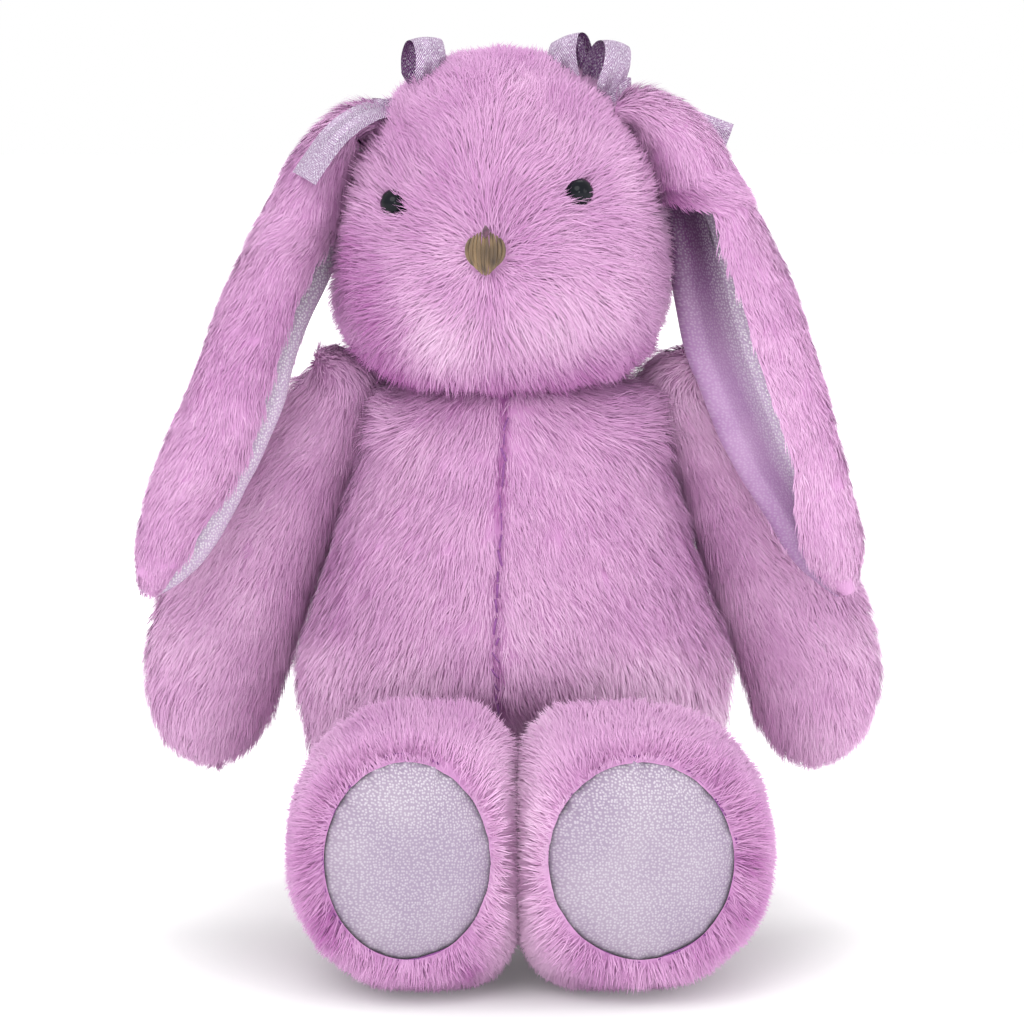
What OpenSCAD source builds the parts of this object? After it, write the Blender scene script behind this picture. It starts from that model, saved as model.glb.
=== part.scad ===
// Stuffed lop-eared bunny, seated, 270 mm tall. Units mm, +Z up, front faces -Y.
// Origin: centre of the flat seat, on the surface the toy sits on.
// Each sewn shape is made of fur panels over its own filling, one solid per real piece.

/* [Fabric] */
// Thickness of a fur panel, backing and pressed pile
panel_t = 5; // [3:0.5:8]
// Thickness of the smooth foil-dot fabric
foil_t = 1.2; // [0.6:0.1:2]
// Gap between two sewn layers
layer_gap = 0.3; // [0.1:0.1:1]
// Angle left open at each seam, in degrees
seam_gap = 0.2; // [0.1:0.1:1]

/* [Torso] */
// Widest half width of the pear shape
belly_w = 66; // [50:1:80]
// Depth of the belly in front of the seat centre
belly_front = 55; // [40:1:70]
// Depth behind the seat centre
belly_back = 51; // [40:1:70]
// Height of the neck ball's centre
neck_z = 130; // [110:1:150]
// Radius of the neck ball
neck_r = 46; // [35:1:55]
// Radius of the tail
tail_r = 14; // [8:1:20]

/* [Head] */
// Widest half width at the cheeks
cheek_w = 50; // [40:1:60]
// Depth of the face in front of the neck axis
face_front = 49; // [40:1:60]
// Depth of the back of the head
head_back = 45; // [35:1:55]
// Height of the crown above the neck ball's centre
crown_h = 137; // [120:1:150]
// How far the muzzle stands out
muzzle_out = 6; // [0:0.5:12]
// Shift of the head to the toy's right
head_shift = -2.8; // [-5:0.1:5]
// Head turn as sewn, in degrees
head_turn = -5; // [-15:1:15]
// Radius of an eye bead
eye_r = 4.2; // [3:0.1:6]
// Angle of the left and right eye from the middle of the face
eye_left_angle = 38; // [20:0.5:45]
eye_right_angle = 33.5; // [20:0.5:45]
// Height of the left and right eye above the neck ball's centre
eye_left_z = 91; // [80:0.5:105]
eye_right_z = 94.5; // [80:0.5:105]
// Radius of an eye's retaining washer
washer_r = 7; // [5:0.5:9]
// Half width of the stitched nose
nose_w = 5.4; // [3:0.1:8]

/* [Ears] */
// Thickness of the ear's fur panel
ear_fur_t = 4; // [2:0.5:6]
// Angle where the left ear's front fold ends
ear_left_fold = -150; // [-170:1:-40]
// Angle where the right ear's front fold ends
ear_right_fold = -62; // [-170:1:-40]

/* [Limbs] */
// Half width of an arm at its widest
arm_w = 22.5; // [15:0.5:28]
// Half depth of an arm at its widest
arm_d = 18; // [12:0.5:24]
// Half height of a foot
foot_h = 41; // [30:1:50]
// Half width of the left foot
foot_left_w = 32.6; // [24:0.1:40]
// Half width of the right foot
foot_right_w = 36.4; // [24:0.1:40]
// Where the two feet meet, to the toy's left of the middle
feet_meet = 1.2; // [-5:0.1:5]

/* [Ribbon] */
// Width of the ribbon
ribbon_w = 10; // [5:1:15]
// Thickness of the ribbon
ribbon_t = 0.8; // [0.4:0.1:1.5]

/* [Hidden] */
$fn = 32;
step = 0.01;
turn = 15;
fill_inset = panel_t + 0.8;
socket_r = neck_r + 1;

fur = [0.80, 0.53, 0.82];
foil = [0.75, 0.69, 0.80];
fill = [0.95, 0.95, 0.93];

// ---- profiles: one row per height or station ----

// Torso rows: height, half width, front depth, back depth
torso_rows = [
    [0, 0.2, 0.2, 0.2],
    [0, 38, 22, 34],
    [7, 52, 25, 42],
    [28, 60, 27, 47],
    [55, belly_w - 2, 34, belly_back - 1],
    [82, belly_w, belly_front, belly_back],
    [105, 58.5, 54, 49],
    [128, 50, 48, 45],
    [148, 41, 40, 39],
    [neck_z + 31, 33.4, 33.4, 33.4],
    [neck_z + 41, 20, 20, 20],
    [neck_z + 45.4, 2, 2, 2]];

// Head rows above the neck ball's centre: height, half width, face depth, back depth
head_rows = [
    [37.6, 30.5, 30.5, 30.5],
    [41, 37, 36.5, 34.5],
    [47, 44.5, 42.5, 39.5],
    [62, cheek_w, face_front, head_back - 1],
    [80, 49, face_front - 1, head_back],
    [96, 46, 44.5, 43.5],
    [110, 40.5, 38.5, 39],
    [123, 31.5, 29.5, 30.5],
    [crown_h - 3.5, 17.5, 16.5, 17],
    [crown_h, 2, 2, 2]];

// Arm stations, left side: centre, then half width and half depth
arm_rows = [
    [-50, 9, 173.2, 1, 2],
    [-50.3, 9, 171.3, 6, 9],
    [-52, 9, 164, 9.2, 12.5],
    [-58.5, 9, 153, 13.5, 15.5],
    [-65.6, 9, 142, 16.8, 17],
    [-74.7, 9, 122.4, 19.6, arm_d],
    [-84, 9, 101, 22, arm_d],
    [-90, 9, 82, arm_w, arm_d],
    [-91, 9, 66, 20.5, 17],
    [-90.5, 9, 53, 13, 11],
    [-90, 9, 47.5, 2, 2]];

// Leg stations from the hip forward, for a foot of half width w:
// centre, then half width and half height
function leg_rows(w) = let (x = -w - 0.4) [
    [x, -26.5, 27, 2, 2],
    [x, -29, 27.5, 13, 12],
    [x, -37, 28, 23, 22.5],
    [x, -49, 30.5, 27, 29.5],
    [x, -62, 35.5, w - 2, 35],
    [x, -78, foot_h + 0.4, w, foot_h],
    [x, -91, foot_h + 0.6, w - 0.6, foot_h - 2.5],
    [x, -100, foot_h + 0.8, w - 4.5, foot_h - 7]];

// Ear stations, left side: centre, then half width and half depth
ear_left_rows = [
    [-46.9, -4, 244.5, 2.5, 9],
    [-50, -4, 241, 6, 13],
    [-57, -6, 230, 10.5, 14.5],
    [-65, -10, 210, 13, 13.5],
    [-74.5, -16, 189, 13.5, 12],
    [-82.5, -22, 165.5, 14, 11],
    [-91, -25.5, 145.5, 13.8, 10],
    [-99.5, -27, 126, 12, 9],
    [-105, -28, 113, 7.5, 6.5],
    [-107.5, -28, 106, 2.6, 2.6]];

// Ear stations, right side, as seen in a mirror
ear_right_rows = [
    [-40.2, -4, 249, 2.5, 9],
    [-44, -4, 246, 6, 13],
    [-52, -6, 234, 11, 15],
    [-59.5, -10, 215, 14, 14],
    [-66, -16, 195, 17.5, 12.5],
    [-72, -22, 175, 18, 11.5],
    [-80, -25.5, 153, 16.5, 10],
    [-87.5, -27, 135, 14, 9],
    [-94, -28, 119, 10.5, 7.5],
    [-98.5, -28, 106, 2.6, 2.6]];

// ---- curve and surface functions ----

function knot(rows, i) = rows[max(0, min(len(rows) - 1, i))];

// Smooth curve through the rows, t counted in rows
function row_at(rows, t) =
    let (i = max(0, min(floor(t), len(rows) - 2)), f = t - i,
        a = knot(rows, i - 1), b = knot(rows, i), c = knot(rows, i + 1), d = knot(rows, i + 2))
    0.5 * (2 * b + (c - a) * f + (2 * a - 5 * b + 4 * c - d) * f * f
        + (3 * b - a - 3 * c + d) * f * f * f);

// A soft bump of width w around zero
function bump(x, w) = exp(-x * x / (w * w));

// Upright body: the angle runs from 0 at the toy's left (+X), -90 at the front
function upright_point(rows, t, a, out) =
    let (r = row_at(rows, t), d = sin(a) < 0 ? r[2] : r[3],
        m = out * bump(a + 90, 34) * bump(r[0] - 74, 17))
    [r[1] * cos(a), (d + m) * sin(a), max(0, r[0])];

// Limb in the plane of X and Z: angle 0 on the outer side, -90 at the front
function limb_point(rows, t, a) =
    let (r = row_at(rows, t), n = row_at(rows, t + step) - row_at(rows, t - step),
        along = [n[0], n[1], n[2]], side = cross([0, 1, 0], along), e = side / norm(side),
        up = cross(along, e), g = up / norm(up))
    [r[0], r[1], r[2]] + e * r[3] * cos(a) + g * r[4] * sin(a);

// Leg along Y: angle 0 on the inner side, 90 at the top
function leg_point(rows, t, a) =
    let (r = row_at(rows, t))
    [r[0] + r[3] * cos(a), r[1], max(0.1, r[2] + r[4] * sin(a))];

// Point moved inward along the surface normal
function inset_point(f, t, a, depth) =
    let (du = f(t + step, a) - f(t - step, a), da = f(t, a + 1) - f(t, a - 1),
        n = cross(da, du))
    f(t, a) - n * depth / norm(n);

// Grid of points between two angles, one list per row
function grid(f, t_list, a0, a1, depth) =
    let (n = max(1, ceil((a1 - a0) / turn)))
    [for (t = t_list) [for (k = [0:n]) inset_point(f, t, a0 + (a1 - a0) * k / n, depth)]];

function joined(rows) = [for (r = rows) each r];

function span(first, last, by) = [for (t = [first:by:last + step]) t];

// ---- building modules ----

// Sewn panel: outer grid and inner grid closed along their four edges
module panel(outer, inner) {
    rows = len(outer);
    cols = len(outer[0]);
    half = rows * cols;
    quads = concat(
        [for (i = [0:rows - 2], k = [0:cols - 2])
            [i * cols + k, i * cols + k + 1, (i + 1) * cols + k + 1, (i + 1) * cols + k]],
        [for (i = [0:rows - 2], k = [0:cols - 2])
            [half + i * cols + k, half + (i + 1) * cols + k,
                half + (i + 1) * cols + k + 1, half + i * cols + k + 1]],
        [for (k = [0:cols - 2]) [half + k, half + k + 1, k + 1, k]],
        [for (k = [0:cols - 2])
            [(rows - 1) * cols + k, (rows - 1) * cols + k + 1,
                half + (rows - 1) * cols + k + 1, half + (rows - 1) * cols + k]],
        [for (i = [0:rows - 2])
            [i * cols, (i + 1) * cols, half + (i + 1) * cols, half + i * cols]],
        [for (i = [0:rows - 2])
            [half + i * cols + cols - 1, half + (i + 1) * cols + cols - 1,
                (i + 1) * cols + cols - 1, i * cols + cols - 1]]);
    polyhedron(concat(joined(outer), joined(inner)), triangles(quads));
}

// Closed filling: rings of points with a flat fan at each end
module filling(rings) {
    rows = len(rings);
    cols = len(rings[0]) - 1;
    rim = [for (r = rings) [for (k = [0:cols - 1]) r[k]]];
    ends = [centre_of(rim[0]), centre_of(rim[rows - 1])];
    low = rows * cols;
    quads = [for (i = [0:rows - 2], k = [0:cols - 1])
        [i * cols + k, i * cols + (k + 1) % cols,
            (i + 1) * cols + (k + 1) % cols, (i + 1) * cols + k]];
    fans = concat(
        [for (k = [0:cols - 1]) [low, (k + 1) % cols, k]],
        [for (k = [0:cols - 1])
            [low + 1, (rows - 1) * cols + k, (rows - 1) * cols + (k + 1) % cols]]);
    polyhedron(concat(joined(rim), ends), concat(triangles(quads), fans));
}

function centre_of(ring) = [for (p = ring) 1] * ring / len(ring);

function triangles(quads) = [for (q = quads) each [[q[0], q[1], q[2]], [q[0], q[2], q[3]]]];

// ---- torso ----

torso = function(t, a) upright_point(torso_rows, t, a, 0);
torso_t = span(0, 11, 0.5);

module torso_panel(a0) {
    panel(grid(torso, torso_t, a0 + seam_gap, a0 + 90 - seam_gap, 0),
        grid(torso, torso_t, a0 + seam_gap, a0 + 90 - seam_gap, panel_t));
}

module torso_front_left() color(fur) torso_panel(-180);

module torso_front_right() color(fur) torso_panel(-90);

module torso_back_left() color(fur) torso_panel(90);

module torso_back_right() color(fur) torso_panel(0);

module torso_stuffing() color(fill)
    filling(grid(torso, span(3, 10, 0.5), 0, 360, fill_inset + 0.4));

// Bag of pellets that weights the seat
module pellet_pouch() color(foil)
    translate([0, 7, 16.5]) scale([34, 22, 9.5]) sphere(1);

module tail() color(fur)
    translate([0, belly_back + tail_r - 2, tail_r + 14]) sphere(tail_r);

// ---- head ----

head = function(t, a) upright_point(head_rows, t, a, muzzle_out);
head_t = span(0, 9, 0.5);
eye_row = 5;

module on_neck() translate([0, 0, neck_z]) rotate([0, 0, head_turn])
    translate([head_shift, 0, 0]) children();

module head_panel(a0) {
    on_neck()
        panel(grid(head, head_t, a0 + seam_gap, a0 + 90 - seam_gap, 0),
            grid(head, head_t, a0 + seam_gap, a0 + 90 - seam_gap, panel_t));
}

module face_left() color(fur) head_panel(-180);

module face_right() color(fur) head_panel(-90);

module head_back_left() color(fur) head_panel(90);

module head_back_right() color(fur) head_panel(0);

// Rings of the hollow under the head, then the inside of the skin
fill_foot = [[socket_r + 1.4, 2], [socket_r - 0.8, 14], [41, 24]];

module head_stuffing() color(fill) on_neck()
    filling(concat(
        [for (q = fill_foot) [for (a = [0:turn:360]) [q[1] * cos(a), q[1] * sin(a), q[0]]]],
        grid(head, span(1, 8.5, 0.75), 0, 360, fill_inset)));

// Frame of an eye: on the skin at its height, +Z straight out
module at_eye(angle, height) {
    t = 4 + (height - head_rows[4][0]) / (head_rows[5][0] - head_rows[4][0]);
    p = head(t, angle - 90);
    on_neck() translate(p) rotate([90, 0, angle]) rotate([-14, 0, 0]) children();
}

module eye_bead() {
    translate([0, 0, -1]) sphere(eye_r);
    translate([0, 0, -13]) cylinder(h = 12, r = 1.6);
}

module eye_washer() translate([0, 0, -panel_t - 3.2]) difference() {
    cylinder(h = 1.5, r = washer_r);
    translate([0, 0, -1]) cylinder(h = 4, r = 1.65);
}

module eye_left() color([0.02, 0.02, 0.03]) at_eye(-eye_left_angle, eye_left_z) eye_bead();

module eye_right() color([0.02, 0.02, 0.03]) at_eye(eye_right_angle, eye_right_z) eye_bead();

module eye_washer_left() color([0.9, 0.9, 0.9]) at_eye(-eye_left_angle, eye_left_z) eye_washer();

module eye_washer_right() color([0.9, 0.9, 0.9]) at_eye(eye_right_angle, eye_right_z) eye_washer();

// Stitched nose, a rounded triangle
module nose() color([0.42, 0.31, 0.22]) on_neck()
    translate([0, -face_front - muzzle_out - 0.6, 78]) hull() {
        translate([-nose_w + 2.4, 0, 2.4]) sphere(2.4, $fn = 16);
        translate([nose_w - 2.4, 0, 2.4]) sphere(2.4, $fn = 16);
        translate([0, 0, -3.4]) sphere(2.4, $fn = 16);
    }

// ---- ears ----

// Fur outside and foil fabric inside, folded along the length
module ear_layer(rows, low, high, depth, thick) {
    t_list = span(0, len(rows) - 1, 0.75);
    shape = function(d) function(t, a) ear_point(rows, t, a, d);
    panel(grid(shape(depth), t_list, low, high, 0),
        grid(shape(depth + thick), t_list, low, high, 0));
}

// Layers thin out towards the two ends of the ear
function ear_point(rows, t, a, depth) =
    let (r = row_at(rows, t), p = limb_point(rows, t, a), v = p - [r[0], r[1], r[2]])
    p - v * depth * min(1, r[3] / 13) / norm(v);

fold_back_left = 158;
fold_back_right = 150;

module ear_fur_left() color(fur)
    ear_layer(ear_left_rows, ear_left_fold, fold_back_left, 0, ear_fur_t);

module ear_lining_left() color(foil)
    ear_layer(ear_left_rows, ear_left_fold, fold_back_left, ear_fur_t + layer_gap, foil_t);

module ear_fur_right() color(fur)
    ear_layer_right(0, ear_fur_t);

module ear_lining_right() color(foil)
    ear_layer_right(ear_fur_t + layer_gap, foil_t);

module ear_layer_right(depth, thick) mirror([1, 0, 0])
    ear_layer(ear_right_rows, ear_right_fold, fold_back_right, depth, thick);

// ---- ribbon bows ----

// Thin rod across the ribbon at one point of its path
module cross_rod(p, wide) {
    translate(p) rotate([0, acos(wide[2] / norm(wide)), atan2(wide[1], wide[0])])
        cylinder(h = ribbon_w, r = ribbon_t / 2, center = true, $fn = 6);
}

// Flat strip along a path of points, with one width direction
module strip(path, wide) {
    for (i = [1:len(path) - 1]) hull() {
        cross_rod(path[i - 1], wide);
        cross_rod(path[i], wide);
    }
}

function loop_path(reach, side) =
    [for (a = [20:20:340]) reach * (1 - cos(a)) / 2 + side * sin(a) * sin(a / 2)];

module knot_ball() scale([4, 3.4, 4]) sphere(1, $fn = 12);

module ribbon_bow_left() color(foil) translate([-38.8, -7, 255.4]) {
    knot_ball();
    strip(loop_path([8, -2, 14.5], [3.5, -1, -1.9]), [3.1, 9, -1.2]);
    strip(loop_path([-4, 17.5, 4], [1.6, -0.7, 4.1]), [9.1, 1.2, -3.3]);
    strip([[0, -1, 0.4], [-5, -10, -5], [-13, -15.5, -13], [-22, -18.5, -25.5]], [6.2, -6, -4]);
    strip([[0, 1, 0.3], [-6, 8, -1], [-13, 14, -4], [-19, 19, -13]], [6.1, 4, -5.2]);
}

module ribbon_bow_right() color(foil) translate([30.5, -7, 256.8]) {
    knot_ball();
    strip(loop_path([-13, -1, 12], [2.6, -1.2, 3.6]), [4, 9, 3]);
    strip(loop_path([3, 1, 14], [4.6, -1, -1.2]), [3, 9, 0]);
    strip([[0, 1, 0.6], [6.5, 11, 2.2], [18.5, 19.5, -2.5], [37, 21.5, -14.5]], [2, 3, 7]);
    strip([[0, 1, 0], [2, 9, 1.5], [4, 18, 0], [7, 27, -5]], [9, 0, -3]);
}

// ---- arms ----

arm = function(t, a) limb_point(arm_rows, t, a);
arm_t = span(0, 10, 0.75);

function arm_grid(a0, depth) = grid(arm, arm_t, a0 + seam_gap, a0 + 180 - seam_gap, depth);

module arm_panel(a0) color(fur) panel(arm_grid(a0, 0), arm_grid(a0, min(panel_t, 4.5)));

module arm_stuffing() color(fill) filling(grid(arm, span(2.25, 8.25, 0.75), 0, 360, fill_inset));

module arm_left_front() arm_panel(-180);

module arm_left_back() arm_panel(0);

module arm_left_stuffing() arm_stuffing();

module arm_right_front() mirror([1, 0, 0]) arm_panel(-180);

module arm_right_back() mirror([1, 0, 0]) arm_panel(0);

module arm_right_stuffing() mirror([1, 0, 0]) arm_stuffing();

// ---- legs ----

leg_t = span(0, 7, 0.5);

function leg_shape(w) = let (rows = leg_rows(w)) function(t, a) leg_point(rows, t, a);

function leg_grid(w, a0, depth) =
    grid(leg_shape(w), leg_t, a0 + seam_gap, a0 + 180 - seam_gap, depth);

module leg_panel(w, a0) color(fur) translate([feet_meet, 0, 0])
    panel(leg_grid(w, a0, 0), leg_grid(w, a0, panel_t));

module leg_stuffing(w) color(fill) translate([feet_meet, 0, 0])
    filling(grid(leg_shape(w), span(1.5, 6.5, 0.5), 0, 360, fill_inset));

// Sole pad rings: distance ahead of the foot's end, half width as a share of the foot's,
// half height
sole_rings = [[-0.3, 0.74, 28.8], [-2, 0.72, 27.8], [-3.2, 0.56, 22.5], [-3.8, 0.06, 2]];
// Shift of a sole pad towards the other foot
sole_shift = 2.5;

module sole_pad(w) color(foil) translate([feet_meet, 0, 0]) filling(
    [for (q = sole_rings) [for (a = [0:turn:360])
        leg_rows(w)[7] * [[1, 0, 0], [0, 1, 0], [0, 0, 1], [0, 0, 0], [0, 0, 0]]
            + [sole_shift + q[1] * w * cos(a), q[0], q[2] * sin(a)]]]);

module leg_left_outer() leg_panel(foot_left_w, 90);

module leg_left_inner() leg_panel(foot_left_w, -90);

module sole_pad_left() sole_pad(foot_left_w);

module leg_left_stuffing() leg_stuffing(foot_left_w);

module on_right() translate([2 * feet_meet, 0, 0]) mirror([1, 0, 0]) children();

module leg_right_outer() on_right() leg_panel(foot_right_w, 90);

module leg_right_inner() on_right() leg_panel(foot_right_w, -90);

module sole_pad_right() on_right() sole_pad(foot_right_w);

module leg_right_stuffing() on_right() leg_stuffing(foot_right_w);

torso_front_left();
torso_front_right();
torso_back_left();
torso_back_right();
torso_stuffing();
pellet_pouch();
tail();
face_left();
face_right();
head_back_left();
head_back_right();
head_stuffing();
eye_left();
eye_right();
eye_washer_left();
eye_washer_right();
nose();
ribbon_bow_left();
ribbon_bow_right();
ear_fur_left();
ear_lining_left();
ear_fur_right();
ear_lining_right();
arm_left_front();
arm_left_back();
arm_left_stuffing();
arm_right_front();
arm_right_back();
arm_right_stuffing();
leg_left_outer();
leg_left_inner();
sole_pad_left();
leg_left_stuffing();
leg_right_outer();
leg_right_inner();
sole_pad_right();
leg_right_stuffing();
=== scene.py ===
"""Seated lop-eared plush bunny in lilac fur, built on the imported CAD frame.

Lengths are in mm until meshes are made.
"""
import math
import bpy
import numpy as np
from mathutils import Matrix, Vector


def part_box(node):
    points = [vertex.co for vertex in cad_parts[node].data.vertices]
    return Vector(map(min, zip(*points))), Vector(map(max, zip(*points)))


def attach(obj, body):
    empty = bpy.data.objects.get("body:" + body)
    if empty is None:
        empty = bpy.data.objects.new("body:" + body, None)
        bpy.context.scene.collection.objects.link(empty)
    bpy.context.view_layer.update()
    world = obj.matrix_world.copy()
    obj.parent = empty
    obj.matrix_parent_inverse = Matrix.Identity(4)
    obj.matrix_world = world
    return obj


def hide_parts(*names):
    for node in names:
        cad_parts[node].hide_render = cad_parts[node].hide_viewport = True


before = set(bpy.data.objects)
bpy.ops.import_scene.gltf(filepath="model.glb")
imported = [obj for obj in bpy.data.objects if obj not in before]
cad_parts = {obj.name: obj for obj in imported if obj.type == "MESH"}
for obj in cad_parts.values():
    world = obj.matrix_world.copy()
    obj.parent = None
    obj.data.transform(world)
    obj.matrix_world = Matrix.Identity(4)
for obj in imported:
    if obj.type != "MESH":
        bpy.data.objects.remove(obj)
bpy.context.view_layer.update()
MM = 0.001
UV_NAME = "OFBake"

# ---------------------------------------------------------------- camera, light, floor

scene = bpy.context.scene
ELEVATION = math.radians(7.0)
TARGET = (-0.0003, 0.0, 0.127)
DISTANCE = 1.2


def make_stage():
    cam = bpy.data.cameras.new("camera")
    cam.lens = 140.6
    cam.sensor_width = 36.0
    cam.clip_end = 20.0
    obj = bpy.data.objects.new("camera", cam)
    obj.location = (TARGET[0], -DISTANCE * math.cos(ELEVATION), TARGET[2] + DISTANCE * math.sin(ELEVATION))
    obj.rotation_euler = (math.pi / 2 - ELEVATION, 0, 0)
    scene.collection.objects.link(obj)
    scene.camera = obj

    world = bpy.data.worlds.new("studio")
    world.use_nodes = True
    world.node_tree.nodes["Background"].inputs[0].default_value = (1, 1, 1, 1)
    world.node_tree.nodes["Background"].inputs[1].default_value = 1.0
    scene.world = world

    def softbox(name, place, aim, size, power):
        light = bpy.data.lights.new(name, "AREA")
        light.shape = "DISK"
        light.size = size
        light.energy = power
        o = bpy.data.objects.new(name, light)
        o.location = place
        d = np.array(aim, float) - np.array(place, float)
        d /= np.linalg.norm(d)
        o.rotation_euler = (math.acos(-d[2]), 0, math.atan2(d[1], d[0]) - math.pi / 2)
        scene.collection.objects.link(o)

    softbox("key", (-0.5, -1.5, 1.3), (0, 0, 0.12), 1.3, 13)
    softbox("fill", (1.4, -1.2, 0.6), (0, 0, 0.12), 1.0, 5)
    softbox("front", (0.05, -2.0, 0.42), (0, 0, 0.15), 0.28, 2.5)
    softbox("top", (0.1, 0.5, 1.8), (0, 0, 0.15), 1.0, 5)

    bpy.ops.mesh.primitive_plane_add(size=14)
    floor = bpy.context.object
    floor.name = "floor"
    mat = bpy.data.materials.new("floor_paper")
    mat.use_nodes = True
    nodes, links = mat.node_tree.nodes, mat.node_tree.links
    b = nodes["Principled BSDF"]
    b.inputs["Base Color"].default_value = (0.7, 0.7, 0.7, 1)
    b.inputs["Roughness"].default_value = 0.9
    b.inputs["Specular IOR Level"].default_value = 0.1
    b.inputs["Emission Color"].default_value = (1, 1, 1, 1)
    # Painted light: the floor glows, more with distance from the toy, so it reads white far off while the
    # real shadows near the toy stay.
    away = nodes.new("ShaderNodeVectorMath")
    away.operation = "LENGTH"
    links.new(nodes.new("ShaderNodeTexCoord").outputs["Object"], away.inputs[0])
    glow = nodes.new("ShaderNodeMapRange")
    glow.interpolation_type = "SMOOTHSTEP"
    glow.inputs[1].default_value, glow.inputs[2].default_value = 0.07, 0.16
    glow.inputs[3].default_value, glow.inputs[4].default_value = 0.1, 0.65
    links.new(away.outputs["Value"], glow.inputs[0])
    links.new(glow.outputs[0], b.inputs["Emission Strength"])
    floor.data.materials.append(mat)
    scene.view_settings.view_transform = "Standard"


make_stage()

# ---------------------------------------------------------------- shapes, as in the CAD

TORSO = [[0, 2, 2, 2], [0, 38, 22, 34], [7, 52, 25, 42], [28, 60, 27, 47], [55, 64, 34, 50],
         [82, 66.5, 55, 51], [105, 60.5, 54, 49], [128, 54, 48.5, 45.5], [148, 47.5, 42, 41],
         [161, 42, 37, 37], [171, 30, 27, 27], [175.4, 6, 6, 6]]
HEAD = [[37.6, 30.5, 30.5, 30.5], [41, 37, 36.5, 34.5], [47, 44.5, 42.5, 39.5], [62, 50, 49, 44],
        [80, 49, 48, 45], [96, 46, 44.5, 43.5], [110, 40.5, 38.5, 39], [123, 31.5, 29.5, 30.5],
        [133.5, 17.5, 16.5, 17], [137, 2, 2, 2]]
ARM = [[-49, 8, 176, 2, 2], [-49.5, 8, 173.5, 10, 10], [-51, 8, 165, 13.5, 14],
       [-56.5, 8.5, 153.5, 16.5, 16], [-63.5, 9, 142, 19.2, 17.5], [-73, 9, 122.4, 21.8, 18.5],
       [-82.8, 9, 101, 23.6, 18.5], [-89.5, 9, 82, 23.3, 18], [-91, 9, 66, 20.5, 17],
       [-90.5, 9, 53, 13, 11], [-90, 9, 47.5, 2, 2]]
EAR_LEFT = [[-37, -6, 243, 3, 8], [-46, -5, 242.5, 7.5, 12], [-56, -6, 231, 11, 14.5],
            [-65, -10, 210, 13, 13.5], [-74.5, -16, 189, 13.5, 12], [-82.5, -22, 165.5, 14, 11],
            [-91, -25.5, 145.5, 13.8, 10], [-99.5, -27, 126, 12, 9], [-105, -28, 113, 7.5, 6.5],
            [-107.5, -28, 106, 2.6, 2.6]]
EAR_RIGHT = [[-29.5, -8, 247, 3, 7], [-38, -8, 246.5, 8, 11], [-49, -7, 237.5, 12, 14.5],
             [-59, -10, 216, 14, 14], [-66, -16, 195, 17.5, 12.5], [-72, -22, 175, 18, 11.5],
             [-80, -25.5, 153, 16.5, 10], [-87.5, -27, 135, 14, 9], [-94, -28, 119, 10.5, 7.5],
             [-98.5, -28, 106, 2.6, 2.6]]
FEET_MEET = 1.2
FOOT = {"left": 32.6, "right": 36.4}


def leg_rows(w):
    x = -w - 0.4
    return [[x, -26.5, 27, 2, 2], [x, -29, 27.5, 13, 12], [x, -37, 28, 23, 22.5],
            [x, -49, 30.5, 27, 29.5], [x, -62, 35.5, w - 2, 35], [x, -78, 41.4, w, 41],
            [x, -91, 41.6, w - 0.6, 38.5], [x, -100, 41.8, w - 4.5, 34],
            [x + 1.6, -102.5, 41.8, w * 0.78, 30.5], [x + 2.5, -101.5, 41.8, w * 0.7, 27.5]]


def unit(v):
    return v / np.maximum(np.linalg.norm(v, axis=-1, keepdims=True), 1e-9)


def row_at(rows, t):
    rows = np.asarray(rows, float)
    n = len(rows)
    i = np.clip(np.floor(t).astype(int), 0, n - 2)
    f = (t - i)[:, None]
    a, b, c, d = (rows[np.clip(i + k, 0, n - 1)] for k in (-1, 0, 1, 2))
    return 0.5 * (2 * b + (c - a) * f + (2 * a - 5 * b + 4 * c - d) * f ** 2
                  + (3 * b - a - 3 * c + d) * f ** 3)


def upright(rows, out=0.0):
    def f(t, a):
        r, q = row_at(rows, t), np.radians(a)
        w = (a + 180) % 360 - 180
        m = out * np.exp(-((w + 90) / 34) ** 2 - ((r[:, 0] - 74) / 17) ** 2)
        d = np.where(np.sin(q) < 0, r[:, 2], r[:, 3]) + m
        return np.stack([r[:, 1] * np.cos(q), d * np.sin(q), np.maximum(r[:, 0], 0)], 1)
    return f


def limb_axes(rows, t):
    r = row_at(rows, t)
    along = unit((row_at(rows, t + 0.01) - row_at(rows, t - 0.01))[:, :3])
    e = unit(np.cross([0, 1, 0], along))
    return r, e, np.cross(along, e)


def limb(rows):
    def f(t, a):
        r, e, g = limb_axes(rows, t)
        q = np.radians(a)
        return r[:, :3] + e * (r[:, 3] * np.cos(q))[:, None] + g * (r[:, 4] * np.sin(q))[:, None]
    return f


def ear(rows, fold, back):
    """Ear cross-section, a in percent from the front fold's edge to the back edge.

    The fold's angle changes along the ear. The back half stays flat and faces forward.
    """
    fold = np.array(fold, float)

    def f(t, a):
        r, e, g = limb_axes(rows, t)
        low = np.interp(t, fold[:, 0], fold[:, 1])
        deg = low + (back - low) * a / 100
        q = np.radians(deg)
        k = np.clip((deg - 105) / 70, 0, 1)
        s = np.sin(q) * (1 - k) + 0.5 * k
        return r[:, :3] + e * (r[:, 3] * np.cos(q))[:, None] + g * (r[:, 4] * s)[:, None]
    return f


def leg(w):
    rows = leg_rows(w)

    def f(t, a):
        r, q = row_at(rows, t), np.radians(a)
        return np.stack([r[:, 0] + r[:, 3] * np.cos(q), r[:, 1],
                         np.maximum(0.1, r[:, 2] + r[:, 4] * np.sin(q))], 1)
    return f


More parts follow.
